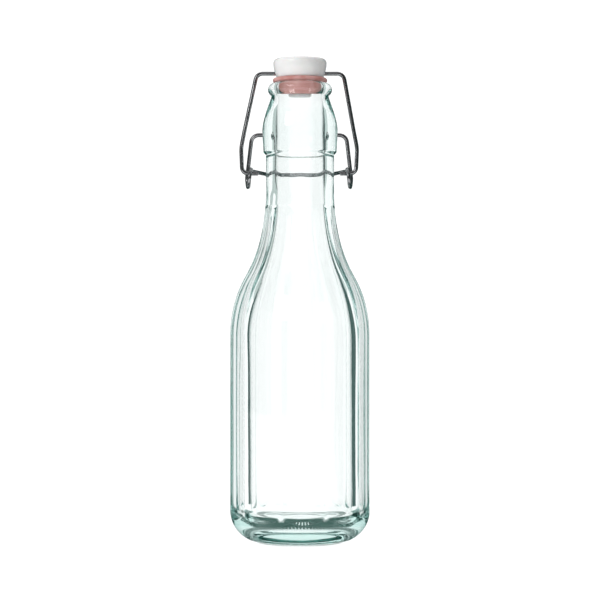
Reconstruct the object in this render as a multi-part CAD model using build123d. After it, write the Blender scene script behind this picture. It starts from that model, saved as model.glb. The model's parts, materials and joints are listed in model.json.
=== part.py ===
"""Swing-top bottle: ten-sided glass bottle with a wire-held stopper.

Millimetres. +Z runs up the bottle's axis, and the origin is on that axis at the
plane the bottle stands on. Both wires hinge about lines parallel to X. The lever's
handle passes behind the neck, on the +Y side.
"""
from build123d import *
from math import cos, radians, sin
import os

# Glass: body, heel and facets
BODY_RADIUS = 31.1          # round heel band, and the circle the facet corners lie on
FACET_COUNT = 10
FACET_TURN = 2.8            # degrees from -Y, towards +X, to the middle of the front flat
FACET_FLAT = 29.7           # from the axis to the middle of a flat
FACET_SCOOP = 7.0           # radius of the curve that runs each flat out above the heel
FACET_FADE = 149.0          # height where the flats have run out into the round neck
CLEAR = 5.0                 # how far cutting shapes pass beyond what they cut
FACET_FOOT = 10.5           # height where the middle of a flat meets the heel band
HEEL_RADIUS = 13.8
BASE_PUSH_UP = 2.2          # height of the hollow under the base
CONTACT_INNER = 14.8        # inside radius of the ring the bottle stands on

# Glass: shoulder, neck and finish
SHOULDER_START = 92.0
SHOULDER_END = 155.0
SHOULDER_TURN = 57.0        # radius of the outward-bulging arc of the shoulder
NECK_RADIUS = 15.2
COLLAR_FOOT = 172.8         # underside of the thick collar that carries the wire
COLLAR_FOOT_RADIUS = 16.3
COLLAR_FOOT_STEP = 1.4      # height of the slope under the collar
COLLAR_RADIUS = 16.8        # collar's widest radius
COLLAR_WIDEST = 183.0
COLLAR_TOP = 198.0
COLLAR_TOP_RADIUS = 12.7
COLLAR_FOOT_SLOPE = (0.05, 1)     # radius against height where the collar's side begins
COLLAR_TOP_SLOPE = (-0.34, 1)     # and where it ends, under the lip
LIP_RADIUS = 14.25
LIP_TOP = 204.0
BEAD_ROUND = 2.6            # radius of the rounded lip

# Glass: inside
CAVITY_RADIUS = 26.2
CAVITY_FLOOR = 8.0
CAVITY_HEEL = 9.0
FLOOR_DOME = 1.0            # rise of the floor's middle above its rim
INNER_SHOULDER_START = 90.0
INNER_SHOULDER_TURN = 52.0
BORE_RADIUS = 10.8          # in the neck
MOUTH_RADIUS = 10.2         # just under the lip
MOUTH_DEPTH = 8.0           # length of the even part under the lip
MOUTH_ROUND = 0.8

# Pivot dimples in the collar
PIVOT_HEIGHT = 180.9
DIMPLE_RADIUS = 1.0
DIMPLE_FLOOR = 14.4         # distance from the axis to the dimple's bottom
DIMPLE_MOUTH = 2.1
DIMPLE_SINK = 1.2           # depth of the flared mouth
DIMPLE_CLEAR = 0.3          # how far the flare is cut beyond the collar's surface

# Wires
WIRE_RADIUS = 0.9
HOOK_Y = -2.4               # the bail's hooked ends sit just in front of the pivots
HOOK_HEIGHT = 163.6
HOOK_BEND = 2.8
KNEE_BEND = 16.0            # where each leg turns in towards the stopper
CROSS_BEND = 3.2            # where a leg turns into the run through the stopper
HOOK_TIP = 18.0             # distance from the axis to the end of a hook
LEG_FOOT = 25.3
LEG_WIDEST = 25.8
LEG_WIDEST_HEIGHT = 175.0
LEG_TOP = 19.3
CROSS_HEIGHT = 208.3        # the bail's straight run through the stopper
PIVOT_TIP = 14.9            # distance from the axis to the lever's end in its dimple
ARM_TOP = 21.0
ARM_FOOT = 23.3
EYE_RADIUS = 4.0            # eyelet, to the middle of the wire
EYE_PITCH = 1.95            # sideways step of the wire over its three-quarter turn
EYE_BEND = 45               # degrees of each bend that the eyelet is made of
EYE_FILLET = 3.8            # radius of each of those bends, a little under the eyelet's own
EYE_TURN = 270              # degrees the eyelet winds through
EYE_PLAY = 0.12             # slack between the hook and the eyelet it lies in
PIVOT_BEND = 3.4            # where a pivot end turns down into its arm
HANDLE_SET_OFF = 4.0        # distance behind the axis where the handle leaves the eyelet
HANDLE_DIP = 0.38           # drop of the handle between the eyelet and that point
HANDLE_SET_OFF_BEND = 5.0
HANDLE_BEND = 6.0           # at the handle's two corners
HANDLE_BACK = 17.2          # handle bar, behind the neck
HANDLE_HALF = 13.5
HANDLE_HEIGHT = 164.3

# Stopper and washer
HEAD_RADIUS = 11.85
HEAD_FOOT_RADIUS = 10.4
HEAD_WIDEST = 212.4
HEAD_TOP = 214.8
HEAD_ROUND = 1.7
HEAD_FOOT = 206.3
HEAD_FOOT_SLOPE = (0.42, 1)
HEAD_WIDEST_SLOPE = (0.03, 1)
CROSS_HOLE_RADIUS = 0.96
PLUG_RADIUS = 5.1
PLUG_TIP = 195.6
PLUG_ROUND = 0.8
WASHER_RADIUS = 12.1
WASHER_BOTTOM = 204.15
WASHER_HOLE = 5.15
CONE_TOP_RADIUS = 9.5
CONE_BOTTOM_RADIUS = 8.8
CONE_BOTTOM = 197.7
CONE_BEVEL = 0.6
SMALL_GAP = 0.05            # between the washer and the head that presses on it

REACH = 80.0                # half the width of a cutting block, wider than the bottle


def shoulder(outer, inner, start, end, first_turn):
    """Two tangent arcs that lead a radius from outer at start to inner at end."""
    drop = outer - inner
    rise = end - start
    both_turns = (drop ** 2 + rise ** 2) / (2 * drop)
    second_turn = both_turns - first_turn
    join_height = start + rise * first_turn / both_turns
    join_radius = outer - drop * first_turn / both_turns
    bulge = TangentArc((outer, start), (join_radius, join_height), tangent=(0, 1))
    hollow = TangentArc((inner, end), (join_radius, join_height), tangent=(0, -1))
    if second_turn <= 0:
        raise ValueError("the first shoulder arc is larger than the shoulder")
    return bulge, hollow


def turned(*edges):
    """Solid of revolution about Z from edges drawn as (radius, height)."""
    section = make_face(Plane.XZ * (Curve() + list(edges)))
    return revolve(section, Axis.Z)


def outer_shape():
    """Round outside of the glass, before the facets are cut."""
    bulge, hollow = shoulder(BODY_RADIUS, NECK_RADIUS, SHOULDER_START, SHOULDER_END, SHOULDER_TURN)
    stand_radius = BODY_RADIUS - HEEL_RADIUS
    bead_start = LIP_TOP - 2 * BEAD_ROUND
    step_top = COLLAR_FOOT + COLLAR_FOOT_STEP
    heel = TangentArc((stand_radius, 0), (BODY_RADIUS, HEEL_RADIUS), tangent=(1, 0))
    collar_side = Spline(
        [(COLLAR_FOOT_RADIUS, step_top), (COLLAR_RADIUS, COLLAR_WIDEST), (COLLAR_TOP_RADIUS, COLLAR_TOP)],
        tangents=[COLLAR_FOOT_SLOPE, COLLAR_TOP_SLOPE],
    )
    bead_radius = LIP_RADIUS - BEAD_ROUND
    bead_side = (LIP_RADIUS, LIP_TOP - BEAD_ROUND)
    bead = ThreePointArc((bead_radius, bead_start), bead_side, (bead_radius, LIP_TOP))
    return turned(
        Line((0, BASE_PUSH_UP), (0, LIP_TOP)),
        ThreePointArc((0, BASE_PUSH_UP), (CONTACT_INNER / 2, BASE_PUSH_UP * 0.75), (CONTACT_INNER, 0)),
        Line((CONTACT_INNER, 0), (stand_radius, 0)),
        heel,
        Line((BODY_RADIUS, HEEL_RADIUS), (BODY_RADIUS, SHOULDER_START)),
        bulge,
        hollow,
        Line((NECK_RADIUS, SHOULDER_END), (NECK_RADIUS, COLLAR_FOOT)),
        Line((NECK_RADIUS, COLLAR_FOOT), (COLLAR_FOOT_RADIUS, step_top)),
        collar_side,
        Line((COLLAR_TOP_RADIUS, COLLAR_TOP), (bead_radius, bead_start)),
        bead,
        Line((bead_radius, LIP_TOP), (0, LIP_TOP)),
    )


def facet_block():
    """Block whose one side is a flat's outline: scooped out at the heel, curved in at the shoulder."""
    scoop_rise = (FACET_SCOOP ** 2 - (FACET_SCOOP - BODY_RADIUS + FACET_FLAT) ** 2) ** 0.5
    flat_start = FACET_FOOT + scoop_rise
    narrow = FACET_FLAT / BODY_RADIUS
    bulge, hollow = shoulder(FACET_FLAT, NECK_RADIUS, SHOULDER_START, FACET_FADE, SHOULDER_TURN * narrow)
    side = BODY_RADIUS + CLEAR
    outside_neck = NECK_RADIUS + 2 * CLEAR
    below = -CLEAR
    above = LIP_TOP + CLEAR
    outline = [
        Line((-REACH, below), (side, below)),
        Line((side, below), (side, FACET_FOOT - CLEAR)),
        Line((side, FACET_FOOT - CLEAR), (BODY_RADIUS, FACET_FOOT)),
        TangentArc((FACET_FLAT, flat_start), (BODY_RADIUS, FACET_FOOT), tangent=(0, -1)),
        Line((FACET_FLAT, flat_start), (FACET_FLAT, SHOULDER_START)),
        bulge,
        hollow,
        Line((NECK_RADIUS, FACET_FADE), (outside_neck, FACET_FADE + 2 * CLEAR)),
        Line((outside_neck, FACET_FADE + 2 * CLEAR), (outside_neck, above)),
        Line((outside_neck, above), (-REACH, above)),
        Line((-REACH, above), (-REACH, below)),
    ]
    section = make_face(Plane.XZ * (Curve() + outline))
    return extrude(section, REACH / 2, both=True)


def cavity():
    """The space inside: floor, body, shoulder, neck bore and rounded mouth."""
    start = INNER_SHOULDER_START
    bulge, hollow = shoulder(CAVITY_RADIUS, BORE_RADIUS, start, SHOULDER_END, INNER_SHOULDER_TURN)
    floor_radius = CAVITY_RADIUS - CAVITY_HEEL
    heel_top = CAVITY_FLOOR + CAVITY_HEEL
    floor_slope = CAVITY_FLOOR + FLOOR_DOME * 3 / 4
    floor_middle = CAVITY_FLOOR + FLOOR_DOME
    taper_end = LIP_TOP - MOUTH_DEPTH
    flare_start = LIP_TOP - MOUTH_ROUND
    flare_radius = MOUTH_RADIUS + MOUTH_ROUND
    above = LIP_TOP + CLEAR
    return turned(
        Line((0, floor_middle), (0, above)),
        ThreePointArc((0, floor_middle), (floor_radius / 2, floor_slope), (floor_radius, CAVITY_FLOOR)),
        TangentArc((floor_radius, CAVITY_FLOOR), (CAVITY_RADIUS, heel_top), tangent=(1, 0)),
        Line((CAVITY_RADIUS, heel_top), (CAVITY_RADIUS, start)),
        bulge,
        hollow,
        Line((BORE_RADIUS, SHOULDER_END), (MOUTH_RADIUS, taper_end)),
        Line((MOUTH_RADIUS, taper_end), (MOUTH_RADIUS, flare_start)),
        TangentArc((MOUTH_RADIUS, flare_start), (flare_radius, LIP_TOP), tangent=(0, 1)),
        Line((flare_radius, LIP_TOP), (flare_radius, above)),
        Line((flare_radius, above), (0, above)),
    )


def dimple(side):
    """Blind hole with a flared mouth, on the +X side for side=1 and the -X side for side=-1."""
    outward = Plane(origin=(side * DIMPLE_FLOOR, 0, PIVOT_HEIGHT), z_dir=(side, 0, 0))
    flare_end = COLLAR_RADIUS + DIMPLE_CLEAR - DIMPLE_FLOOR
    flare = outward * Pos(0, 0, flare_end - DIMPLE_SINK / 2) * Cone(DIMPLE_RADIUS, DIMPLE_MOUTH, DIMPLE_SINK)
    hole = outward * Pos(0, 0, flare_end / 2) * Cylinder(DIMPLE_RADIUS, flare_end)
    return hole + flare


def bottle():
    """The glass: a turned shape with ten flats, hollowed, with a pivot dimple on each side."""
    glass = outer_shape()
    block = facet_block()
    corner_step = 360 / FACET_COUNT
    for number in range(FACET_COUNT):
        glass = glass & Rot(0, 0, number * corner_step + FACET_TURN - 90) * block
    glass = glass - cavity()
    return glass - dimple(1) - dimple(-1)


def mirrored_route(points, radii):
    """Points and bend radii of half a wire, repeated in mirror image across the YZ plane."""
    others = [(-x, y, z) for x, y, z in reversed(points)]
    return points + others, radii + radii[::-1]


def round_wire(route):
    """Wire of the common thickness along a route of straight runs and tangent bends."""
    start = Plane(origin=route @ 0, z_dir=route % 0)
    return sweep(start * Circle(WIRE_RADIUS), path=route)


def bail_wire():
    """The upper wire: through the stopper, down both sides, hooked inwards through the eyelets."""
    half = [
        (HOOK_TIP, HOOK_Y, HOOK_HEIGHT),
        (LEG_FOOT, HOOK_Y, HOOK_HEIGHT),
        (LEG_WIDEST, HOOK_Y * 0.75, LEG_WIDEST_HEIGHT),
        (LEG_TOP, 0, CROSS_HEIGHT),
    ]
    points, radii = mirrored_route(half, [HOOK_BEND, KNEE_BEND, CROSS_BEND])
    return round_wire(FilletPolyline(*points, radius=radii))


def eyelet_corners():
    """Corners of three quarters of a turn about X: down the back, under, up the front, over the top."""
    middle = HOOK_HEIGHT - (EYE_RADIUS - 2 * WIRE_RADIUS - EYE_PLAY)
    corner_radius = EYE_RADIUS / cos(radians(EYE_BEND / 2))
    count = EYE_TURN // EYE_BEND
    corners = []
    for number in range(count):
        angle = radians(-EYE_BEND * (number + 0.5))
        x = ARM_FOOT - EYE_PITCH * (number + 0.5) / count
        corners.append((x, HOOK_Y + corner_radius * cos(angle), middle + corner_radius * sin(angle)))
    return corners


def lever_wire():
    """The lower wire: pivot ends in the dimples, arms, eyelets, and a handle round the back."""
    eyelet = eyelet_corners()
    handle_start = (ARM_FOOT - EYE_PITCH, HANDLE_SET_OFF, eyelet[-1][2] - HANDLE_DIP)
    half = [(PIVOT_TIP, 0, PIVOT_HEIGHT), (ARM_TOP, 0, PIVOT_HEIGHT), *eyelet, handle_start]
    half.append((HANDLE_HALF, HANDLE_BACK, HANDLE_HEIGHT))
    eye_radii = [EYE_FILLET] * len(eyelet)
    points, radii = mirrored_route(half, [PIVOT_BEND, *eye_radii, HANDLE_SET_OFF_BEND, HANDLE_BEND])
    return round_wire(FilletPolyline(*points, radius=radii))


def stopper():
    """White head with a plug below it and a cross hole for the bail."""
    side_ends = [(HEAD_FOOT_RADIUS, HEAD_FOOT), (HEAD_RADIUS, HEAD_WIDEST)]
    head_side = Spline(side_ends, tangents=[HEAD_FOOT_SLOPE, HEAD_WIDEST_SLOPE])
    tip_radius = PLUG_RADIUS - PLUG_ROUND
    tip_side = PLUG_TIP + PLUG_ROUND
    top_radius = HEAD_RADIUS - HEAD_ROUND
    body = turned(
        Line((0, PLUG_TIP), (0, HEAD_TOP)),
        Line((0, PLUG_TIP), (tip_radius, PLUG_TIP)),
        TangentArc((tip_radius, PLUG_TIP), (PLUG_RADIUS, tip_side), tangent=(1, 0)),
        Line((PLUG_RADIUS, tip_side), (PLUG_RADIUS, HEAD_FOOT)),
        Line((PLUG_RADIUS, HEAD_FOOT), (HEAD_FOOT_RADIUS, HEAD_FOOT)),
        head_side,
        TangentArc((HEAD_RADIUS, HEAD_WIDEST), (top_radius, HEAD_TOP), tangent=(0, 1)),
        Line((top_radius, HEAD_TOP), (0, HEAD_TOP)),
    )
    hole = Pos(0, 0, CROSS_HEIGHT) * Rot(0, 90, 0) * Cylinder(CROSS_HOLE_RADIUS, 3 * HEAD_RADIUS)
    return body - hole


def gasket():
    """Rubber washer on the plug: a rounded flange on the lip and a taper down into the mouth."""
    top = HEAD_FOOT - SMALL_GAP
    edge = (top - WASHER_BOTTOM) / 2
    edge_radius = WASHER_RADIUS - edge
    edge_side = (WASHER_RADIUS, WASHER_BOTTOM + edge)
    tip_radius = CONE_BOTTOM_RADIUS - CONE_BEVEL
    cone_start = CONE_BOTTOM + CONE_BEVEL
    return turned(
        Line((WASHER_HOLE, CONE_BOTTOM), (WASHER_HOLE, top)),
        Line((WASHER_HOLE, CONE_BOTTOM), (tip_radius, CONE_BOTTOM)),
        Line((tip_radius, CONE_BOTTOM), (CONE_BOTTOM_RADIUS, cone_start)),
        Line((CONE_BOTTOM_RADIUS, cone_start), (CONE_TOP_RADIUS, WASHER_BOTTOM)),
        Line((CONE_TOP_RADIUS, WASHER_BOTTOM), (edge_radius, WASHER_BOTTOM)),
        ThreePointArc((edge_radius, WASHER_BOTTOM), edge_side, (edge_radius, top)),
        Line((edge_radius, top), (WASHER_HOLE, top)),
    )


os.makedirs("parts", exist_ok=True)
for make in (bottle, stopper, gasket, bail_wire, lever_wire):
    export_step(make(), f"parts/{make.__name__}.step")
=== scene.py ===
"""Swing-top bottle: the looks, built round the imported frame. Sizes are in millimetres until meshed."""
import bpy
from math import cos, degrees, exp, pi, radians, sin, sqrt
import json
from mathutils import Matrix, Quaternion, Vector


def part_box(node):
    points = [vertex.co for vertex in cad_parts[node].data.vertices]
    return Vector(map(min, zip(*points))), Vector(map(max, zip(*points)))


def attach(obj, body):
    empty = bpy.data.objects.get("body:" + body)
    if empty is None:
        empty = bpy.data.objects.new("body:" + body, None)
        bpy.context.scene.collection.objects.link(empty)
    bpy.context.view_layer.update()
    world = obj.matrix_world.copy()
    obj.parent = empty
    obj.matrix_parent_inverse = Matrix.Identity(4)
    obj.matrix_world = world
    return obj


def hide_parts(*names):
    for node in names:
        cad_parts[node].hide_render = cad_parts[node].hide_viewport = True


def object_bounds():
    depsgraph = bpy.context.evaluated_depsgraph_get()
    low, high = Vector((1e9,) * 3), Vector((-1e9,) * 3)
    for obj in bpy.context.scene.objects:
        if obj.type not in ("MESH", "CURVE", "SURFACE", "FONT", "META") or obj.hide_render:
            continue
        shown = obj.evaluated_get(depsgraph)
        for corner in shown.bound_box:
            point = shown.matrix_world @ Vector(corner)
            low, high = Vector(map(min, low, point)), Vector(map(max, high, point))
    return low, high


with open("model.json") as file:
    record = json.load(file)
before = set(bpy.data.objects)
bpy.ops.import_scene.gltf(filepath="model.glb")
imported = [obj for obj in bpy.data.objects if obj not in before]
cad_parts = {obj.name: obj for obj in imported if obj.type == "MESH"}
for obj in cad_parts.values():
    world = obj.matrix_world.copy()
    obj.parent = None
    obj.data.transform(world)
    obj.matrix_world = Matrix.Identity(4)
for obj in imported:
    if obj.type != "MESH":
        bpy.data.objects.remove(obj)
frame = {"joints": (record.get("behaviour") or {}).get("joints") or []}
cad_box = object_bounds()

# ---------------------------------------------------------------- glass bottle
# One piece of pressed and blown soda-lime glass with a faint aqua tint, thick at the heel and the collar.
# Ten flats are let into the round body by the mould, and the inside is only roughly round.

MM = 0.001
scene = bpy.context.scene


class Socket:
    """An output of a node. Sums written on it become Math nodes of the same tree."""

    def __init__(self, maker, socket):
        self.maker = maker
        self.socket = socket

    def maths(self, operation, *others):
        values = dict(enumerate((self, *others)))
        return self.maker.add("ShaderNodeMath", {"operation": operation}, values)[0]

    def __add__(self, other):
        return self.maths("ADD", other)

    def __sub__(self, other):
        return self.maths("SUBTRACT", other)

    def __mul__(self, other):
        return self.maths("MULTIPLY", other)

    def __truediv__(self, other):
        return self.maths("DIVIDE", other)

    def __rsub__(self, other):
        return (self * -1) + other

    def __rtruediv__(self, other):
        return self.maths("POWER", -1) * other

    __radd__ = __add__
    __rmul__ = __mul__

    def fade(self, low, high):
        """0 below low, 1 above high, and a smooth ramp between them."""
        values = {"Value": self, "From Min": low, "From Max": high}
        return self.maker.add("ShaderNodeMapRange", {"interpolation_type": "SMOOTHSTEP"}, values)[0]


class NodeMaker:
    """Adds nodes to one tree: a type, its settings, then its sockets by name or number."""

    def __init__(self, tree):
        self.tree = tree

    def add(self, kind, settings=None, values=None):
        node = self.tree.nodes.new(kind)
        for name, setting in (settings or {}).items():
            setattr(node, name, setting)
        for key, value in (values or {}).items():
            if isinstance(value, Socket):
                self.tree.links.new(value.socket, node.inputs[key])
            else:
                node.inputs[key].default_value = value
        return [Socket(self, out) for out in node.outputs]

    def mix(self, amount, first, second):
        """Colour between first and second."""
        return self.add("ShaderNodeMix", {"data_type": "RGBA"}, {0: amount, 6: first, 7: second})[2]


def rule_tree(name, sizes):
    """An empty Geometry Nodes tree with a mesh input, named sizes, and a mesh output."""
    tree = bpy.data.node_groups.new(name, "GeometryNodeTree")
    tree.interface.new_socket("Mesh", in_out="INPUT", socket_type="NodeSocketGeometry")
    for size in sizes:
        tree.interface.new_socket(size, in_out="INPUT", socket_type="NodeSocketFloat")
    tree.interface.new_socket("Mesh", in_out="OUTPUT", socket_type="NodeSocketGeometry")
    maker = NodeMaker(tree)
    given = maker.add("NodeGroupInput")
    return tree, maker, dict(zip(["Mesh", *sizes], given))


def close_tree(maker, mesh, material):
    """Ends a tree: real geometry, one material, out."""
    real = maker.add("GeometryNodeRealizeInstances", None, {"Geometry": mesh})[0]
    painted = maker.add("GeometryNodeSetMaterial", None, {"Geometry": real, "Material": material})[0]
    maker.add("NodeGroupOutput", None, {0: painted})


def grown(name, mesh, tree, sizes, cutters=()):
    """The plain mesh object that a tree, and then any cutters, make of a starting mesh."""
    start = bpy.data.objects.new(name + "_start", mesh)
    scene.collection.objects.link(start)
    modifier = start.modifiers.new("rule", "NODES")
    modifier.node_group = tree
    for item in tree.interface.items_tree:
        if item.in_out == "INPUT" and item.name in sizes:
            modifier[item.identifier] = sizes[item.name]
    for cutter in cutters:
        cut = start.modifiers.new("cut", "BOOLEAN")
        cut.operation = "DIFFERENCE"
        cut.solver = "EXACT"
        cut.object = cutter
    evaluated = start.evaluated_get(bpy.context.evaluated_depsgraph_get())
    piece = bpy.data.objects.new(name, bpy.data.meshes.new_from_object(evaluated))
    scene.collection.objects.link(piece)
    for spare in (start, *cutters):
        bpy.data.objects.remove(spare)
    piece.data.name = name
    piece.data.shade_smooth()
    piece.data.set_sharp_from_angle(angle=radians(38))
    return piece


def arc(centre, radius, first, last, count):
    """Points of an arc in the (radius, height) plane, from angle first to last in degrees."""
    turns = [radians(first + (last - first) * step / (count - 1)) for step in range(count)]
    return [(centre[0] + radius * cos(turn), centre[1] + radius * sin(turn)) for turn in turns]


def spread(first, last, count):
    """Evenly spaced numbers from first up to, but without, last."""
    return [first + (last - first) * step / count for step in range(count)]


def shoulder_radius(height, outer, inner, start, end, first_turn):
    """Radius at a height on two tangent arcs that lead from outer to inner."""
    drop = outer - inner
    both_turns = (drop ** 2 + (end - start) ** 2) / (2 * drop)
    second_turn = both_turns - first_turn
    join = start + (end - start) * first_turn / both_turns
    if height <= start:
        return outer
    if height <= join:
        return outer - first_turn + sqrt(first_turn ** 2 - (height - start) ** 2)
    if height <= end:
        return inner + second_turn - sqrt(second_turn ** 2 - (end - height) ** 2)
    return inner


def turned_mesh(name, outline, columns, facts=()):
    """A surface of revolution from (radius, height, fact, ...) points. Ends on the axis close in a point,
    and an outline that comes back to its first point closes in a ring."""
    ring_shaped = outline[0][0] > 0 and outline[-1] == outline[0]
    if ring_shaped:
        outline = outline[:-1]
    rings = [point for point in outline if point[0] > 0]
    verts = []
    for ring in rings:
        for column in range(columns):
            turn = 2 * pi * column / columns
            verts.append((ring[0] * sin(turn) * MM, -ring[0] * cos(turn) * MM, ring[1] * MM))
    faces = []
    for row in range(len(rings) if ring_shaped else len(rings) - 1):
        for column in range(columns):
            after = (column + 1) % columns
            low, high = row * columns, (row + 1) % len(rings) * columns
            faces.append((low + column, low + after, high + after, high + column))
    owners = [ring for ring in rings for _ in range(columns)]
    for pole, row, inward in ((outline[0], 0, True), (outline[-1], len(rings) - 1, False)):
        if pole[0] > 0:
            continue
        verts.append((0, 0, pole[1] * MM))
        owners.append(pole)
        tip = len(verts) - 1
        for column in range(columns):
            here, after = row * columns + column, row * columns + (column + 1) % columns
            faces.append((tip, after, here) if inward else (tip, here, after))
    mesh = bpy.data.meshes.new(name)
    mesh.from_pydata(verts, [], faces)
    for number, fact in enumerate(facts):
        layer = mesh.attributes.new(fact, "FLOAT", "POINT")
        for index, owner in enumerate(owners):
            layer.data[index].value = owner[2 + number]
    mesh.update()
    return mesh


glass_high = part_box("bottle")[1]
BODY_RADIUS = glass_high.x / MM
LIP_TOP = glass_high.z / MM
FACETS = 10
FACET_TURN = 2.8             # degrees from the front, towards +X, to the middle of the front flat
FLAT = BODY_RADIUS - 1.4     # from the axis to the middle of a flat
FLAT_FOOT = 10.5             # height where a flat runs out above the heel
SCOOP = 7.0                  # radius of the curve that each flat runs out in
HEEL = 13.8                  # radius of the rounded heel
PUSH_UP = 2.2                # rise of the hollow under the base
RING_LIFT = 0.55             # the base stands on small moulded points this tall
RING_INNER = 15.0            # radius where the hollow ends and the standing ring begins
POINT_COUNT = 72
SHOULDER = (92.0, 155.0)     # heights where the shoulder starts and ends
SHOULDER_TURN = 57.0         # radius of its outward arc
NECK = 15.2
NECK_SEAM = 148.7            # where the neck-ring mould met the body mould
FLAT_FADE = SHOULDER[1] - 6  # height where the flats have run out into the neck
COLLAR = (172.6, 198.0)      # foot and top of the thick collar
COLLAR_RADII = (16.3, 12.7)  # at its foot and its top
COLLAR_WIDEST = (16.8, 183.0)     # radius and height of its widest ring
LIP_RADIUS = 14.25
CAVITY = 26.2
FLOOR = 8.0
FLOOR_ROUND = 9.0            # radius between the floor and the inner wall
INNER_SHOULDER = (90.0, 155.0)
INNER_TURN = 52.0
BORE = 10.8
MOUTH = 10.2
MOUTH_FOOT = 196.0           # where the mouth's even part ends, below the lip
NO_FLAT = 1000.0             # a flat this far out cuts nothing
COLUMNS = 360


def flat_distance(height):
    """From the axis to the middle of a flat at a height, past which the glass is cut away."""
    foot_rise = sqrt(SCOOP ** 2 - (SCOOP - BODY_RADIUS + FLAT) ** 2)
    above_foot = height - FLAT_FOOT - foot_rise
    if above_foot <= -SCOOP:
        return NO_FLAT
    if above_foot < 0:
        return FLAT + SCOOP - sqrt(SCOOP ** 2 - above_foot ** 2)
    if height > FLAT_FADE:
        slope = 1.1
        return NECK + (height - FLAT_FADE) * slope
    return shoulder_radius(height, FLAT, NECK, SHOULDER[0], FLAT_FADE, SHOULDER_TURN * FLAT / BODY_RADIUS)


def outside_radius(height):
    """Round outside of the glass from the heel to the collar's foot, with the neck ring's seam."""
    seam_height, seam_width = 0.14, 0.3
    seam = seam_height * exp(-((height - NECK_SEAM) / seam_width) ** 2)
    return shoulder_radius(height, BODY_RADIUS, NECK, *SHOULDER, SHOULDER_TURN) + seam


def inside_radius(height):
    """Inside of the glass from the top of the floor's rim to the neck."""
    return shoulder_radius(height, CAVITY, BORE, *INNER_SHOULDER, INNER_TURN)


def eased(part):
    """0 to 1 as part goes from 0 to 1, level at both ends."""
    return part * part * (3 - 2 * part)


def collar_radius(height):
    """Side of the collar: nearly upright up to its widest, then drawn in to the lip."""
    widest, middle = COLLAR_WIDEST
    if height < middle:
        part = (height - COLLAR[0]) / (middle - COLLAR[0])
        return COLLAR_RADII[0] + (widest - COLLAR_RADII[0]) * eased(part)
    rise = COLLAR[1] - middle
    part = (height - middle) / rise
    slope_start, slope_end = -0.05 * rise, -0.34 * rise
    swing = widest + (COLLAR_RADII[1] - widest) * eased(part)
    return swing + (part ** 3 - 2 * part ** 2 + part) * slope_start + (part ** 3 - part ** 2) * slope_end


def glass_outline():
    """From the base's middle, out over the lip and down to the floor's middle. Each point is
    (radius, height, distance of the flats, size of the standing points, share of the inner ripple)."""
    outline = [(0, PUSH_UP, NO_FLAT, 0, 0)]
    dome = RING_INNER ** 2 / (2 * (PUSH_UP - RING_LIFT))
    for radius in spread(1.3, RING_INNER, 11):
        outline.append((radius, PUSH_UP - radius ** 2 / (2 * dome), NO_FLAT, 0, 0))
    standing_ring = [(RING_INNER, 0), (15.8, 0)] + [(radius, 1) for radius in (16.4, 17.6, 18.8, 19.8)]
    for radius, point_size in standing_ring + [(20.2, 0.6), (20.6, 0)]:
        outline.append((radius, RING_LIFT, NO_FLAT, point_size, 0))
    for radius, height in arc((BODY_RADIUS - HEEL, HEEL), HEEL, -74, -2, 23):
        outline.append((radius, height, flat_distance(height), 0, 0))
    outline += body_and_neck() + collar_and_lip()
    for height in spread(MOUTH_FOOT, INNER_SHOULDER[1], 9):
        up = (height - INNER_SHOULDER[1]) / (MOUTH_FOOT - INNER_SHOULDER[1])
        outline.append((BORE - (BORE - MOUTH) * up, height, NO_FLAT, 0, 0.5))
    return outline + inner_wall_and_floor()


def body_and_neck():
    """Outside points from the heel to the collar, closer together at the shoulder and the seam."""
    seam_low, seam_high = NECK_SEAM - 1.3, NECK_SEAM + 1.3
    heights = spread(14, 26, 12) + spread(26, SHOULDER[0], 7) + spread(SHOULDER[0], seam_low, 34)
    heights += spread(seam_low, seam_high, 12) + spread(seam_high, COLLAR[0] - 0.8, 8)
    return [(outside_radius(height), height, flat_distance(height), 0, 0) for height in heights]


def collar_and_lip():
    """Outside points from the step under the collar, over the lip and into the mouth."""
    step_low, step_rise = COLLAR[0] - 0.8, 1.6
    points = []
    for step in range(11):
        part = step / 10
        points.append((NECK + (COLLAR_RADII[0] - NECK) * eased(part), step_low + step_rise * part))
    points += [(collar_radius(height), height) for height in spread(step_low + 2.4, COLLAR[1], 22)]
    bead, mouth_round = 3.0, 0.8
    points += arc((LIP_RADIUS - bead, LIP_TOP - bead), bead, -62, 90, 24)
    points += arc((MOUTH + mouth_round, LIP_TOP - mouth_round), mouth_round, 92, 180, 8)
    points += [(MOUTH, height) for height in spread(202, MOUTH_FOOT, 3)]
    return [(radius, height, NO_FLAT, 0, 0) for radius, height in points]


def inner_wall_and_floor():
    """Inside points from the shoulder down. The wall shows each flat faintly."""
    flat_depth = 0.25
    points = []
    for height in spread(INNER_SHOULDER[1], INNER_SHOULDER[0], 38) + spread(INNER_SHOULDER[0], 17, 9):
        radius = inside_radius(height)
        points.append((radius, height, radius - flat_depth, 0, 1))
    floor_rim = CAVITY - FLOOR_ROUND
    for radius, height in arc((floor_rim, FLOOR + FLOOR_ROUND), FLOOR_ROUND, 0, -90, 14):
        points.append((radius, height, NO_FLAT, 0, 1))
    for radius in spread(floor_rim - 1.5, 1.0, 10):
        points.append((radius, FLOOR + 1 - (radius / floor_rim) ** 2, NO_FLAT, 0, 0.4))
    return points + [(0, FLOOR + 1, NO_FLAT, 0, 0)]


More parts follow.
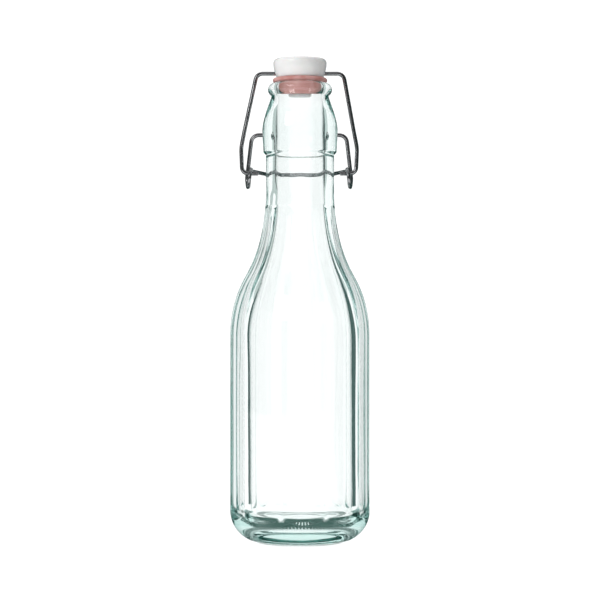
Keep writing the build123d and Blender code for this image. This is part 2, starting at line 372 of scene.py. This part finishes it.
def glass_rule(material):
    """Cuts the flats, raises the standing points and makes the inside wavy."""
    sizes = ["Facets", "Turn", "Corner", "Points", "Point Height", "Ripple"]
    tree, maker, given = rule_tree("glass_rule", sizes)
    place = maker.add("GeometryNodeInputPosition")[0]
    x, y, z = maker.add("ShaderNodeSeparateXYZ", None, {0: place})
    fact = {}
    for name in ("flat", "points", "inside"):
        values = {"Name": name}
        fact[name] = maker.add("GeometryNodeInputNamedAttribute", {"data_type": "FLOAT"}, values)[0]
    radius = (x * x + y * y).maths("SQRT")
    turn = x.maths("ARCTAN2", y * -1)
    half = pi / given["Facets"]
    across = turn.maths("WRAP", half, half * -1)
    cut = radius.maths("SMOOTH_MIN", fact["flat"] * MM / across.maths("COSINE"), given["Corner"])
    stretched = maker.add("ShaderNodeCombineXYZ", None, {"X": x * 60, "Y": y * 60, "Z": z * 22})[0]
    waves = maker.add("ShaderNodeTexNoise", None, {"Vector": stretched, "Scale": 1.0, "Detail": 1.0})[0]
    ripple = waves - 0.5
    reach = cut + ripple * given["Ripple"] * fact["inside"]
    points = (turn * given["Points"]).maths("COSINE").maths("MAXIMUM", 0)
    drop = points * fact["points"] * given["Point Height"]
    scale = reach / radius.maths("MAXIMUM", 0.00001)
    middle = radius.maths("LESS_THAN", 0.0001)
    scale = scale * (1 - middle) + middle
    moved = maker.add("ShaderNodeCombineXYZ", None, {"X": x * scale, "Y": y * scale, "Z": z - drop})[0]
    mesh = maker.add("GeometryNodeSetPosition", None, {"Geometry": given["Mesh"], "Position": moved})[0]
    spun = maker.add("ShaderNodeCombineXYZ", None, {"Z": given["Turn"]})[0]
    mesh = maker.add("GeometryNodeTransform", None, {"Geometry": mesh, "Rotation": spun})[0]
    close_tree(maker, mesh, material)
    return tree


def new_material(name):
    """A material with only its output, and the maker of its nodes."""
    material = bpy.data.materials.new(name)
    material.use_nodes = True
    material.node_tree.nodes.clear()
    return material, NodeMaker(material.node_tree)


def glass_material():
    """Clear glass, slightly wavy, frosted and darker at the tips of the standing points where they touch the
    floor, and aqua in its depth.
    """
    material, maker = new_material("aqua_glass")
    place = maker.add("ShaderNodeTexCoord")[3]
    height = maker.add("ShaderNodeSeparateXYZ", None, {0: place})[2]
    peel = maker.add("ShaderNodeTexNoise", None, {"Vector": place, "Scale": 90.0, "Detail": 2.0})[0]
    bump = maker.add("ShaderNodeBump", None, {"Strength": 0.25, "Distance": 0.0001, "Height": peel})[0]
    # Rougher, and tinted dark teal, at the very tips of the standing points right at the floor.
    floor_tips = 1 - height.fade(0.0002, 0.0005)
    tint = maker.mix(floor_tips, (1, 1, 1, 1), (0.12, 0.22, 0.20, 1))
    shader = maker.add("ShaderNodeBsdfPrincipled", None, {
        "Base Color": tint, "Roughness": floor_tips * 0.12, "IOR": 1.52, "Transmission Weight": 1.0, "Normal": bump,
    })[0]
    depth = maker.add("ShaderNodeVolumeAbsorption", None, {"Color": (0.0, 0.60, 0.52, 1), "Density": 8.0})[0]
    maker.add("ShaderNodeOutputMaterial", None, {"Surface": shader, "Volume": depth})
    return material


def dimple_cutter(side):
    """The blind pivot hole in one side of the collar, with a flared mouth."""
    floor, hole, flare = 14.4, 1.05, 2.2
    outline = [(0, floor - 0.3), (hole * 0.7, floor), (hole, floor + 0.5)]
    outline += [(hole, 15.7), (1.25, 16.1), (flare, 17.2), (0, 17.4)]
    mesh = turned_mesh("dimple", outline, 40)
    mesh.transform(Matrix.Translation((0, 0, PIVOT_HEIGHT * MM)) @ Matrix.Rotation(side * pi / 2, 4, "Y"))
    cutter = bpy.data.objects.new("dimple", mesh)
    scene.collection.objects.link(cutter)
    return cutter


lever_joint, bail_joint, stopper_joint = frame["joints"]
PIVOT_HEIGHT = lever_joint["pos_m"][2] / MM
glass = grown(
    "bottle_glass",
    turned_mesh("glass", glass_outline(), COLUMNS, ("flat", "points", "inside")),
    glass_rule(glass_material()),
    {"Facets": FACETS, "Turn": radians(FACET_TURN), "Corner": 0.45 * MM, "Points": POINT_COUNT,
     "Point Height": RING_LIFT * MM, "Ripple": 0.6 * MM},
    [dimple_cutter(1), dimple_cutter(-1)],
)
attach(glass, "bottle_body")
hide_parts("bottle")
glass.visible_shadow = False

# ---------------------------------------------------------------- bail
# The upper wire: one length of bright drawn steel, bent cold. It runs through the stopper,
# down both sides of the collar, and its ends hook inwards through the lever's eyelets.


def bent_route(points, radii):
    """Points along straight runs joined by arcs, each arc replacing one corner."""
    route = [Vector(points[0])]
    for before, corner, after, radius in zip(points, points[1:], points[2:], radii):
        corner = Vector(corner)
        back = (Vector(before) - corner).normalized()
        ahead = (Vector(after) - corner).normalized()
        half = back.angle(ahead) / 2
        reach = radius / (sin(half) / cos(half))
        middle = corner + (back + ahead).normalized() * (radius / sin(half))
        start = corner + back * reach - middle
        turn = start.rotation_difference(corner + ahead * reach - middle)
        count = max(3, int(degrees(turn.angle) / 6))
        for step in range(count + 1):
            route.append(middle + Quaternion(turn.axis, turn.angle * step / count) @ start)
    return route + [Vector(points[-1])]


def evened(route, step, passes):
    """The route at an even spacing, with its kinks relaxed."""
    even = [route[0]]
    left = step
    for here, there in zip(route, route[1:]):
        run = (there - here).length
        while run >= left:
            here = here.lerp(there, left / run)
            even.append(here)
            run = (there - here).length
            left = step
        left -= run
    even.append(route[-1])
    for _ in range(passes):
        inner = [(a + b * 2 + c) / 4 for a, b, c in zip(even, even[1:], even[2:])]
        even = [even[0], *inner, even[-1]]
    return even


def both_sides(half):
    """Half a wire's points, and the same in mirror image."""
    return half + [(-x, y, z) for x, y, z in reversed(half)]


def lean(route, shift, low, high):
    """Hand-bent wire: shifted sideways below low, and not at all above high."""
    leaned = []
    for point in route:
        part = min(max((point.z - low) / (high - low), 0), 1)
        leaned.append(point + Vector((shift * (1 - part), 0, 0)))
    return leaned


def wire_rule(material):
    """Round wire along a line of edges, its cut ends eased, with its length and turn kept for the finish."""
    tree, maker, given = rule_tree("wire_rule", ["Radius", "End"])
    line = maker.add("GeometryNodeMeshToCurve", None, {"Mesh": given["Mesh"]})[0]
    along = maker.add("GeometryNodeSplineParameter")[1]
    whole = maker.add("GeometryNodeSplineLength")[0]
    line = maker.add("GeometryNodeStoreNamedAttribute", {"data_type": "FLOAT", "domain": "POINT"},
                     {"Geometry": line, "Name": "along", "Value": along})[0]
    to_end = along.maths("MINIMUM", whole - along)
    inset = 1 - (to_end / given["End"]).maths("MINIMUM", 1)
    rounded = (1 - inset * inset * 0.5).maths("MAXIMUM", 0.0)
    ring_sizes = {"Resolution": 24, "Radius": given["Radius"]}
    ring = maker.add("GeometryNodeCurvePrimitiveCircle", None, ring_sizes)[0]
    around = maker.add("GeometryNodeSplineParameter")[0]
    ring = maker.add("GeometryNodeStoreNamedAttribute", {"data_type": "FLOAT", "domain": "POINT"},
                     {"Geometry": ring, "Name": "around", "Value": around})[0]
    wire = maker.add("GeometryNodeCurveToMesh", None,
                     {"Curve": line, "Profile Curve": ring, "Scale": rounded, "Fill Caps": True})[0]
    close_tree(maker, wire, material)
    return tree


def wire_piece(name, route):
    """A finished wire along a route in millimetres."""
    mesh = bpy.data.meshes.new(name)
    mesh.from_pydata([point * MM for point in route], [(n, n + 1) for n in range(len(route) - 1)], [])
    return grown(name, mesh, wire_tree, {"Radius": WIRE * MM, "End": 0.3 * MM})


def steel_material():
    """Bright drawn wire: fine lines along it, duller patches, a little handling grime."""
    material, maker = new_material("drawn_steel")
    along = maker.add("ShaderNodeAttribute", {"attribute_name": "along"})[2]
    around = maker.add("ShaderNodeAttribute", {"attribute_name": "around"})[2]
    ring_x = (around * (2 * pi)).maths("COSINE")
    ring_y = (around * (2 * pi)).maths("SINE")
    drawn = maker.add("ShaderNodeCombineXYZ", None, {"X": ring_x * 9, "Y": ring_y * 9, "Z": along * 60})[0]
    lines = maker.add("ShaderNodeTexNoise", None, {"Vector": drawn, "Scale": 1.0, "Detail": 3.0})[0]
    place = maker.add("ShaderNodeTexCoord")[3]
    patches = maker.add("ShaderNodeTexNoise", None, {"Vector": place, "Scale": 150.0, "Detail": 1.0})[0]
    dull = patches.fade(0.45, 0.7)
    colour = maker.mix(dull, (0.32, 0.32, 0.33, 1), (0.22, 0.22, 0.23, 1))
    bump = maker.add("ShaderNodeBump", None, {"Strength": 0.08, "Distance": 0.00003, "Height": lines})[0]
    shader = maker.add("ShaderNodeBsdfPrincipled", None, {
        "Base Color": colour, "Metallic": 1.0, "Roughness": 0.2 + dull * 0.1 + lines * 0.04, "Normal": bump,
    })[0]
    maker.add("ShaderNodeOutputMaterial", None, {"Surface": shader})
    return material


WIRE = 0.9                   # radius of both wires
HOOK_Y, HOOK_HEIGHT = bail_joint["pos_m"][1] / MM, bail_joint["pos_m"][2] / MM
CROSS_HEIGHT = stopper_joint["pos_m"][2] / MM
HOOK_TIP = 18.0              # from the axis to the end of a hook
LEG_FOOT = 25.3
LEG_WIDEST = (25.8, 175.0)   # from the axis, and height
LEG_TOP = 19.3
HOOK_BEND, KNEE_BEND, CROSS_BEND = 2.8, 16.0, 3.2
ROUTE_STEP = 0.35
LEAN = -0.4                  # both wires are bent this far to one side
LEAN_HEIGHTS = (183, 205)    # fully below the first, and not at all above the second
wire_tree = wire_rule(steel_material())
half_bail = [
    (HOOK_TIP, HOOK_Y, HOOK_HEIGHT),
    (LEG_FOOT, HOOK_Y, HOOK_HEIGHT),
    (LEG_WIDEST[0], HOOK_Y * 0.75, LEG_WIDEST[1]),
    (LEG_TOP, 0, CROSS_HEIGHT),
]
leg_bends = [HOOK_BEND, KNEE_BEND, CROSS_BEND]
bail_route = bent_route(both_sides(half_bail), leg_bends + leg_bends[::-1])
bail = wire_piece("steel_bail", lean(evened(bail_route, ROUTE_STEP, 2), LEAN, *LEAN_HEIGHTS))
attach(bail, "bail")
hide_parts("bail_wire")

# ---------------------------------------------------------------- lever
# The lower wire: one length of the same steel. Its ends spring into the collar's dimples, each arm
# runs down into an eyelet of three quarters of a turn, and the handle passes behind the neck.


def eyelet(side, arm_foot):
    """From the arm, down the back, under, up the front, and rearwards over the top."""
    steps = 45
    middle = HOOK_HEIGHT - (EYE_RADIUS - 2 * WIRE - EYE_PLAY)
    places = []
    for step in range(steps + 1):
        turn = radians(-EYE_TURN * step / steps)
        x = side * (arm_foot - EYE_PITCH * step / steps)
        places.append(Vector((x, HOOK_Y + EYE_RADIUS * cos(turn), middle + EYE_RADIUS * sin(turn))))
    return places


def half_lever(side):
    """Pivot end, arm and eyelet of one side."""
    turn = eyelet(side, ARM_FOOT)
    pivot_end = [(side * PIVOT_TIP, 0, PIVOT_HEIGHT), (side * ARM_TOP, 0, PIVOT_HEIGHT)]
    arm = bent_route(pivot_end + [tuple(turn[0])], [PIVOT_BEND])
    return arm[:-1] + turn


PIVOT_TIP = 14.9             # from the axis to the lever's end in its dimple
ARM_TOP, ARM_FOOT = 21.0, 23.3
PIVOT_BEND = 3.4
EYE_RADIUS, EYE_PITCH, EYE_TURN = 4.0, 1.95, 270
EYE_PLAY = 0.12              # slack between the hook and the eyelet it lies in
SET_OFF, SET_OFF_DIP = 4.0, 0.38            # where the handle leaves the eyelet, and its drop to there
HANDLE_CORNER = (13.5, 17.2, 164.3)         # sideways, behind the axis, and height
right, left = half_lever(1), half_lever(-1)
eye_top = right[-1]
handle_half = [tuple(eye_top), (eye_top.x, SET_OFF, eye_top.z - SET_OFF_DIP), HANDLE_CORNER]
handle = bent_route(both_sides(handle_half), [5.0, 6.0, 6.0, 5.0])
lever_route = evened(right[:-1] + handle + left[-2::-1], ROUTE_STEP, 5)
lever = wire_piece("steel_lever", lean(lever_route, LEAN, *LEAN_HEIGHTS))
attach(lever, "lever")
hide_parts("lever_wire")

# ---------------------------------------------------------------- stopper
# A solid white moulded head with a plug under it, in one piece. The bail runs through a cross hole
# just above the washer and holds it.


def white_material():
    """Glossy white moulding with a faint peel, light scuffs, and a little grey in the wear."""
    material, maker = new_material("glossy_white")
    place = maker.add("ShaderNodeTexCoord")[3]
    peel = maker.add("ShaderNodeTexNoise", None, {"Vector": place, "Scale": 260.0, "Detail": 2.0})[0]
    wear = maker.add("ShaderNodeTexNoise", None, {"Vector": place, "Scale": 120.0, "Detail": 5.0})[0]
    wear = wear.fade(0.55, 0.72)
    colour = maker.mix(wear, (0.74, 0.74, 0.735, 1), (0.69, 0.69, 0.685, 1))
    bump = maker.add("ShaderNodeBump", None, {"Strength": 0.2, "Distance": 0.00008, "Height": peel})[0]
    shader = maker.add("ShaderNodeBsdfPrincipled", None, {
        "Base Color": colour, "Roughness": 0.2 + wear * 0.15, "Normal": bump, "Coat Weight": 0.35,
        "Subsurface Weight": 0.08, "Subsurface Scale": 0.004,
    })[0]
    maker.add("ShaderNodeOutputMaterial", None, {"Surface": shader})
    return material


def plain_rule(name, material):
    """A tree that gives a turned mesh a slight moulded unevenness and its material."""
    tree, maker, given = rule_tree(name, ["Ripple"])
    normal = maker.add("GeometryNodeInputNormal")[0]
    place = maker.add("GeometryNodeInputPosition")[0]
    ripple = maker.add("ShaderNodeTexNoise", None, {"Vector": place, "Scale": 110.0, "Detail": 1.0})[0] - 0.5
    push = ripple * given["Ripple"]
    offset = maker.add("ShaderNodeVectorMath", {"operation": "SCALE"}, {0: normal, "Scale": push})[0]
    mesh = maker.add("GeometryNodeSetPosition", None, {"Geometry": given["Mesh"], "Offset": offset})[0]
    close_tree(maker, mesh, material)
    return tree


def stopper_outline():
    """(radius, height) from the plug's tip to the middle of the head."""
    plug, tip, foot = 5.1, 195.6, 206.3
    outline = [(0, tip), (2.0, tip), (3.4, tip)] + arc((plug - 1, tip + 1), 1, -90, 0, 7)
    outline += [(plug, height) for height in spread(198, foot - 0.2, 5)]
    outline += [(plug + 0.2, foot)] + [(radius, foot) for radius in spread(6, 9.8, 4)]
    outline += arc((10.0, foot + 0.5), 0.5, -90, -12, 5)
    for step in range(1, 15):
        part = step / 15
        outline.append((10.5 + 1.35 * sin(part * pi / 2), foot + 0.5 + 5.9 * part))
    outline += arc((9.95, 212.9), 1.9, 0, 86, 12)
    top = foot + 8.5
    sinks = (8.6, 0.01), (7.0, 0.08), (5.5, 0.18), (3.5, 0.25), (1.8, 0.28), (0, 0.29)
    outline += [(radius, top - sink) for radius, sink in sinks]
    return outline


def cross_hole():
    """The hole that the bail runs through, a little flared at both ends."""
    half = [(1.15, 12.5), (1.0, 10.4), (1.0, 6.0)]
    near = [(radius, -along) for radius, along in half]
    outline = [(0, -half[0][1])] + near + half[::-1] + [(0, half[0][1])]
    mesh = turned_mesh("cross_hole", outline, 32)
    mesh.transform(Matrix.Translation((0, 0, CROSS_HEIGHT * MM)) @ Matrix.Rotation(pi / 2, 4, "Y"))
    cutter = bpy.data.objects.new("cross_hole", mesh)
    scene.collection.objects.link(cutter)
    return cutter


stopper = grown(
    "white_stopper",
    turned_mesh("stopper", stopper_outline(), 128),
    plain_rule("moulded", white_material()),
    {"Ripple": 0.03 * MM},
    [cross_hole()],
)
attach(stopper, "stopper_body")
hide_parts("stopper")

# ---------------------------------------------------------------- washer
# Dusty red moulded rubber, stretched over the plug. A rounded flange lies on the lip, and a taper
# below it fills the mouth.


def rubber_material():
    """Matt red rubber with a pale bloom, fine pores and darker flecks."""
    material, maker = new_material("red_rubber")
    place = maker.add("ShaderNodeTexCoord")[3]
    bloom = maker.add("ShaderNodeTexNoise", None, {"Vector": place, "Scale": 240.0, "Detail": 4.0})[0]
    pores = maker.add("ShaderNodeTexNoise", None, {"Vector": place, "Scale": 2600.0, "Detail": 2.0})[0]
    colour = maker.mix(bloom.fade(0.35, 0.7), (0.46, 0.19, 0.17, 1), (0.56, 0.30, 0.28, 1))
    rough = pores + bloom * 0.5
    bump = maker.add("ShaderNodeBump", None, {"Strength": 0.4, "Distance": 0.00005, "Height": rough})[0]
    shader = maker.add("ShaderNodeBsdfPrincipled", None, {
        "Base Color": colour, "Roughness": 0.45 + bloom * 0.2, "Normal": bump,
        "Subsurface Weight": 0.1, "Subsurface Scale": 0.002,
    })[0]
    maker.add("ShaderNodeOutputMaterial", None, {"Surface": shader})
    return material


def washer_outline():
    """(radius, height) round the washer's section, starting and ending inside the hole."""
    top, bottom, hole, taper_foot = 206.25, LIP_TOP + 0.12, 5.15, 197.8
    edge = (top - bottom) / 2
    outline = [(hole, taper_foot), (6.5, taper_foot - 0.05), (8.5, taper_foot)]
    outline += arc((8.65, taper_foot + 0.6), 0.6, -80, 0, 5)
    outline += [(9.3 + 0.085 * (height - 198.9), height) for height in spread(199.2, 203.6, 6)]
    outline += [(9.85, 203.8), (10.3, bottom), (10.6, bottom)]
    outline += arc((12.1 - edge, bottom + edge), edge, -88, 88, 19)
    outline += [(radius, top) for radius in (9.6, 8.0, 6.5, hole)] + [(hole, 203.0), (hole, taper_foot)]
    return outline


washer = grown(
    "rubber_washer",
    turned_mesh("washer", washer_outline(), 160),
    plain_rule("moulded_rubber", rubber_material()),
    {"Ripple": 0.12 * MM},
)
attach(washer, "stopper_body")
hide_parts("gasket")

# ---------------------------------------------------------------- studio
# A white bowl-shaped sweep and soft lamps. Unseen glowing cards and floor rings paint light and shade: dark
# cards at both sides paint the glass's dark edges, others paint dark reflections in the steel and glass, grey
# shade in the collar's walls, a shadow under the base and shade on the stopper's right side. They are placed
# for a view from the front, and from the sides they show through the glass.


def sweep_material(name, colour, glow):
    """Matt painted board, very slightly uneven, with a glow of its own."""
    material, maker = new_material(name)
    place = maker.add("ShaderNodeTexCoord")[3]
    grain = maker.add("ShaderNodeTexNoise", None, {"Vector": place, "Scale": 30.0, "Detail": 3.0})[0]
    pale = maker.mix(grain, tuple(c * 0.98 for c in colour) + (1,), colour + (1,))
    shader = maker.add("ShaderNodeBsdfPrincipled", None, {
        "Base Color": pale, "Roughness": 0.9, "Specular IOR Level": 0.0,
        "Emission Color": pale, "Emission Strength": glow,
    })[0]
    maker.add("ShaderNodeOutputMaterial", None, {"Surface": shader})
    return material


def bowl():
    """Floor that curves up into a wall all round."""
    outline = [(0, 0), (200, 0), (500, 0), (900, 0)] + arc((1000, 700), 700, -90, 0, 16)
    outline += [(1700, 1500), (1700, 2500)]
    mesh = turned_mesh("pale_sweep", outline, 72)
    mesh.materials.append(sweep_material("pale_floor", (0.5, 0.5, 0.5), 1.2))
    mesh.shade_smooth()
    return bpy.data.objects.new("pale_sweep", mesh)


def unseen(name, mesh, colour, glow, seen_by):
    """A stage piece that only some rays meet: never the camera's or a lamp's. Its glowing colour is painted
    reflection and shade.
    """
    mesh.materials.append(sweep_material(name, colour, glow))
    piece = bpy.data.objects.new(name, mesh)
    piece.visible_camera = False
    piece.visible_shadow = False
    piece.visible_diffuse = "soft" in seen_by
    piece.visible_glossy = "gloss" in seen_by
    piece.visible_transmission = "through" in seen_by
    return piece


def curved_card(name, distance, turn, half_turn, low, high):
    """An upright curved card, round an angle measured from straight behind the bottle towards +X."""
    steps = 12
    turns = [radians(turn - half_turn + 2 * half_turn * step / steps) for step in range(steps + 1)]
    edge = [(distance * sin(angle), distance * cos(angle)) for angle in turns]
    verts = [(x, y, height) for height in (low, high) for x, y in edge]
    faces = [(n, n + 1, n + steps + 2, n + steps + 1) for n in range(steps)]
    mesh = bpy.data.meshes.new(name)
    mesh.from_pydata(verts, [], faces)
    return mesh


def floor_ring(name, inner, outer, colour, seen_by):
    """A dark glowing ring on the floor round the base, never seen by the camera. Below, one paints a shadow
    seen through the base, the other a dark reflection of the floor.
    """
    lift, glow = 0.1, 0.6
    mesh = turned_mesh(name, [(inner, lift), ((inner + outer) / 2, lift), (outer, lift)], 64)
    return unseen(name, mesh, colour, glow, seen_by)


# Colour of the painted dark reflections: the unseen edge cards, wings and floor ring.
PAINTED_DARK = (0.02, 0.05, 0.045)
# Colour of the painted grey shade in the collar's walls, seen through the glass.
PAINTED_WALL_SHADE = (0.31, 0.35, 0.34)
stage = [
    bowl(),
    # Painted contact shadow: a dark ring under the standing points, seen only through the glass.
    floor_ring("painted_base_shadow", 17.5, 29, (0.05, 0.09, 0.08), ["through"]),
    # Painted dark reflection of the floor, seen only by glossy rays on the heel and the wires.
    floor_ring("painted_floor_reflection", 22, 150, PAINTED_DARK, ["gloss"]),
]
for name, distance, turn, half_turn, height, colour, glow, seen_by in (
    # Painted dark edges: dark glowing cards at both sides, seen only in the glass's reflections and through
    # it.
    ("edge_left", 0.115, -90, 16, (-0.01, 0.26), PAINTED_DARK, 0.8, ["gloss", "through"]),
    ("edge_right", 0.115, 90, 26, (-0.01, 0.26), PAINTED_DARK, 0.8, ["gloss", "through"]),
    # Painted grey shade on the collar's walls: glowing grey panels seen only through the glass.
    ("grey_left", 0.13, -88, 42, (0.15, 0.30), PAINTED_WALL_SHADE, 0.85, ["through"]),
    ("grey_right", 0.13, 88, 42, (0.15, 0.30), PAINTED_WALL_SHADE, 0.85, ["through"]),
    # Painted dark reflections beside the bottle, seen only by glossy rays on the steel and glass.
    ("wing_left", 0.12, -34, 27, (-0.01, 0.30), PAINTED_DARK, 0.5, ["gloss"]),
    ("wing_right", 0.12, 34, 27, (-0.01, 0.30), PAINTED_DARK, 0.5, ["gloss"]),
    # Painted dark surround in front, seen only in reflections, so that the steel looks dark.
    ("front_screen", 0.99, 180, 120, (0.0, 2.2), (0.03, 0.03, 0.03), 0.4, ["gloss"]),
    # Painted shade on the stopper's and washer's right side: a dark card that only diffuse rays meet.
    ("painted_shade_flag", 0.2, 115, 50, (0.13, 0.42), (0.02, 0.02, 0.02), 0.0, ["soft"]),
):
    mesh = curved_card(name, distance, turn, half_turn, *height)
    stage.append(unseen(name, mesh, colour, glow, seen_by))
for thing in stage:
    scene.collection.objects.link(thing)

LAMP_AIM = Vector((0, 0, 0.11))
for name, place, size, power in (
    ("window", (-0.55, -0.7, 0.6), 0.4, 2.0),
    ("fill", (0.7, -0.55, 0.5), 0.28, 0.8),
    ("top", (0.0, 0.1, 1.3), 0.9, 2.0),
):
    lamp = bpy.data.lights.new(name, "AREA")
    lamp.size = size
    lamp.energy = power
    holder = bpy.data.objects.new(name, lamp)
    holder.location = place
    holder.rotation_euler = (LAMP_AIM - Vector(place)).to_track_quat("-Z", "Y").to_euler()
    holder.visible_glossy = name == "window"
    scene.collection.objects.link(holder)

scene.world = bpy.data.worlds.new("soft_white")
scene.world.use_nodes = True
background = scene.world.node_tree.nodes["Background"]
background.inputs["Strength"].default_value = 0.8
background.inputs["Color"].default_value = (1, 1, 1, 1)
scene.view_settings.view_transform = "Standard"
scene.cycles.use_denoising = True
scene.cycles.max_bounces = 24
scene.cycles.glossy_bounces = 16
scene.cycles.transmission_bounces = 24

CAMERA_DISTANCE = 0.83
lens = bpy.data.cameras.new("camera")
lens.lens = 111.7
camera = bpy.data.objects.new("camera", lens)
middle_height = (cad_box[0].z + cad_box[1].z) / 2
camera.location = (0, -CAMERA_DISTANCE, middle_height)
camera.rotation_euler = (pi / 2, 0, 0)
scene.collection.objects.link(camera)
scene.camera = camera
